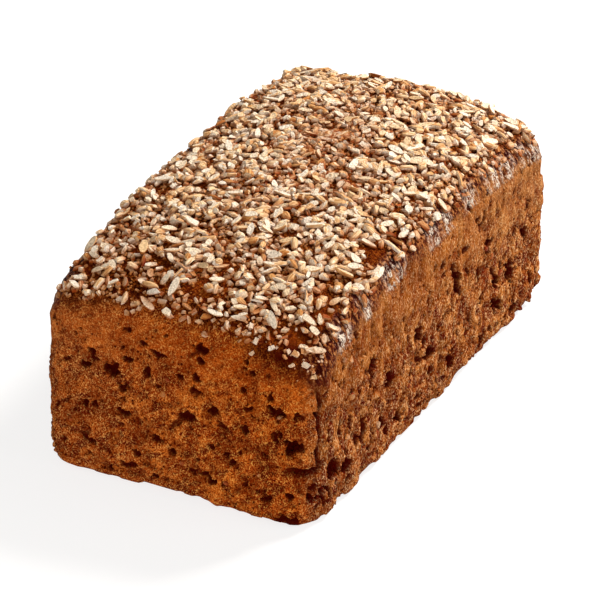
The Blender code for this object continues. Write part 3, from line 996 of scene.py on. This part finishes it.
def chunk_of_kernel(draw, lengths, widths, heights):
    """An angular piece of kernel, with bran left between its broken faces."""
    size = [MM * draw.uniform(*span) for span in (lengths, widths, heights)]
    bpy.ops.object.select_all(action="DESELECT")
    bpy.ops.mesh.primitive_uv_sphere_add(segments=8, ring_count=4, radius=0.5)
    piece = bpy.context.object
    bpy.ops.object.mode_set(mode="EDIT")
    bpy.ops.transform.resize(value=size)
    return broken_off(draw, piece, size, cuts=5, nearest=0.28, farthest=0.68)


chunk_shapes = [chunk_of_kernel(cracking, (3.6, 5.8), (2.4, 3.5), (1.6, 2.4)) for _ in range(24)]
chunk_laid = strew(cracking, chunk_shapes, BROKEN_KERNELS, tries=3, lengths=(0.65, 1.15), roll=0.6,
                   steepest=0.60)
strewn_piece("broken_kernels", chunk_shapes, chunk_laid, rye, cracking)

# Kernels split along their length: half-round spindles with a flat, pale broken face. They lie
# on top of the rest, so they are what the eye sees first.
SPLIT_KERNELS = 600


def split_kernel(draw, lengths, widths, heights):
    """A kernel split along its length, bent a little, one tip blunter than the other."""
    length, width, height = [MM * draw.uniform(*span) for span in (lengths, widths, heights)]
    bpy.ops.object.select_all(action="DESELECT")
    bpy.ops.mesh.primitive_uv_sphere_add(
        segments=8, ring_count=6, radius=0.5, rotation=(0, math.pi / 2, 0)
    )
    piece = bpy.context.object
    bpy.ops.object.transform_apply(location=True, rotation=True, scale=True)
    bpy.ops.object.mode_set(mode="EDIT")
    bpy.ops.transform.resize(value=(length, width, 2 * height))
    mesh = bmesh.from_edit_mesh(piece.data)
    bend, blunt = draw.uniform(-0.22, 0.22), draw.uniform(0.0, 0.35)
    for vertex in mesh.verts:
        share = vertex.co.x / length
        vertex.co.y *= 1 - 0.35 * share - blunt * share * share
        vertex.co.y += bend * length * (0.25 - share * share)
        vertex.co.z *= 1 - 0.3 * share
        vertex.co += Vector([draw.uniform(-1, 1) for _ in range(3)]) * 0.05 * width
    bmesh.update_edit_mesh(piece.data)
    lean = (draw.uniform(-0.12, 0.12), draw.uniform(-0.3, 0.3), 1)
    cut_face(piece, (0, 0, height * draw.uniform(-0.1, 0.3)), lean)
    if draw.random() < 0.6:
        lean = (1, draw.uniform(-0.8, 0.8), draw.uniform(-0.4, 0.4))
        cut_face(piece, (length * draw.uniform(0.20, 0.42), 0, 0), lean)
    if draw.random() < 0.35:
        lean = (draw.uniform(-0.15, 0.15), 1, draw.uniform(-0.5, 0.5))
        cut_face(piece, (0, width * draw.uniform(0.10, 0.30), 0), lean)
    if draw.random() < 0.3:
        lean = (-1, draw.uniform(-0.8, 0.8), draw.uniform(-0.4, 0.4))
        cut_face(piece, (-length * draw.uniform(0.25, 0.42), 0, 0), lean)
    if draw.random() < 0.6:
        bpy.ops.mesh.select_all(action="SELECT")
        bpy.ops.transform.rotate(value=math.pi, orient_axis="X", center_override=(0, 0, 0))
    return take_shape(piece, (length, width, height))


split_shapes = [split_kernel(cracking, (5.2, 8.0), (2.0, 2.8), (1.0, 1.5)) for _ in range(24)]
split_laid = strew(cracking, split_shapes, SPLIT_KERNELS, tries=3, lengths=(0.65, 1.12), roll=0.40,
                   steepest=0.76)
strewn_piece("split_kernels", split_shapes, split_laid, rye, cracking)

# Kernels baked into the walls: broken rye from the dough itself, showing where the crust is
# thin. On the end they stand as places along Y and Z, on the side along X and Z, with sizes.
KERNELS_IN_END = (
    (3, 39, 3.4), (-14, 38, 2.2), (5, 54, 2.4), (2, 45, 2.6), (-3, 15, 2.8), (-19, 12, 2.6),
    (5, 21, 2.4), (-38, 41, 3.2), (33, 53, 1.8), (20, 26, 2.2), (-30, 18, 2.2), (38, 20, 2.4),
)
KERNELS_IN_SIDE = (
    (-66, 54, 3.6), (-62, 52, 3.6), (-64, 24, 3.8), (-49, 29, 4.0), (-61, 38, 4.2), (-52, 43, 2.0),
    (-43, 18, 4.6), (-42, 13, 3.6), (37, 42, 3.0), (41, 37, 3.0), (49, 26, 3.4), (45, 24, 4.6),
    (17, 34, 1.8), (8, 41, 2.0), (28, 32, 2.0), (-20, 20, 2.6), (-8, 48, 2.0), (64, 44, 2.4),
)
HIDDEN_KERNELS = 14
wall_spots = [((-HALF_LENGTH, y * MM, z * MM), size) for y, z, size in KERNELS_IN_END]
wall_spots += [((x * MM, -HALF_WIDTH, z * MM), size) for x, z, size in KERNELS_IN_SIDE]
for _ in range(HIDDEN_KERNELS):
    level, size = MM * cracking.uniform(8, 56), cracking.uniform(2, 4.4)
    wall_spots.append(((HALF_LENGTH, cracking.uniform(-0.8, 0.8) * HALF_WIDTH, level), size))
    level, size = MM * cracking.uniform(8, 56), cracking.uniform(2, 4.4)
    wall_spots.append(((cracking.uniform(-0.8, 0.8) * HALF_LENGTH, HALF_WIDTH, level), size))
held_laid = stuck_on(cracking, chunk_shapes, wall_spots, proud=0.10)
strewn_piece("baked_in_kernels", chunk_shapes, held_laid, rye, cracking, tones=(0, 0.25))

# The table, the light and the camera. The table is white and lit from all round, so that the
# loaf throws only a faint shadow; the main light is high on the right, behind the loaf.
bpy.ops.object.select_all(action="DESELECT")
bpy.ops.mesh.primitive_plane_add(size=6, location=(0, 0, 0))
table = bpy.context.object
table.name = "table"
white, _, shader, _ = start_material("white_table")
shader.inputs["Base Color"].default_value = (0.28, 0.28, 0.28, 1)
shader.inputs["Roughness"].default_value = 0.9
shader.inputs["Specular IOR Level"].default_value = 0.0
shader.inputs["Emission Color"].default_value = (1, 1, 1, 1)
shader.inputs["Emission Strength"].default_value = 0.79
table.data.materials.append(white)

world = bpy.data.worlds.new("studio")
world.use_nodes = True
world.node_tree.nodes["Background"].inputs["Color"].default_value = (1, 0.91, 0.80, 1)
world.node_tree.nodes["Background"].inputs["Strength"].default_value = 0.28
bpy.context.scene.world = world


def soft_light(name, towards, distance, size, power, colour=(1, 1, 1)):
    """A square soft light that faces the loaf from a direction."""
    bpy.ops.object.light_add(type="AREA")
    light = bpy.context.object
    light.name = name
    light.data.size = size
    light.data.energy = power
    light.data.color = colour
    light.location = Vector(towards).normalized() * distance
    light.rotation_euler = Vector(towards).to_track_quat("Z", "Y").to_euler()


soft_light("main_light", (0.63, -0.35, 0.78), 1.3, size=0.34, power=25, colour=(1.0, 0.965, 0.91))
soft_light("side_fill", (0.1, -1.0, 0.5), 1.5, size=0.9, power=4.9)
soft_light("end_fill", (-1.0, -0.3, 0.3), 1.5, size=0.8, power=9)

# The camera, as far off and with as long a lens as the fit to the photograph gives. It looks
# down on the near corner, and aims a little left of the loaf's middle and below it.
AZIMUTH, ELEVATION, DISTANCE = math.radians(-62.64), math.radians(30.54), 2.0
MIDDLE = Vector((0, 0, 0.035))
AIM_LEFT, AIM_BELOW = 0.0017, 0.00468
back = Vector((
    math.sin(AZIMUTH) * math.cos(ELEVATION),
    -math.cos(AZIMUTH) * math.cos(ELEVATION),
    math.sin(ELEVATION),
))
right = (-back).cross(Vector((0, 0, 1))).normalized()
up = right.cross(-back)
aim = MIDDLE - right * AIM_LEFT - up * AIM_BELOW
camera_data = bpy.data.cameras.new("camera")
camera_data.lens = 370
camera_data.sensor_width = 36
camera_data.clip_end = 20
camera = bpy.data.objects.new("camera", camera_data)
camera.location = aim + back * DISTANCE
camera.rotation_euler = back.to_track_quat("Z", "Y").to_euler()
bpy.context.scene.collection.objects.link(camera)
bpy.context.scene.camera = camera
bpy.context.scene.view_settings.view_transform = "Standard"
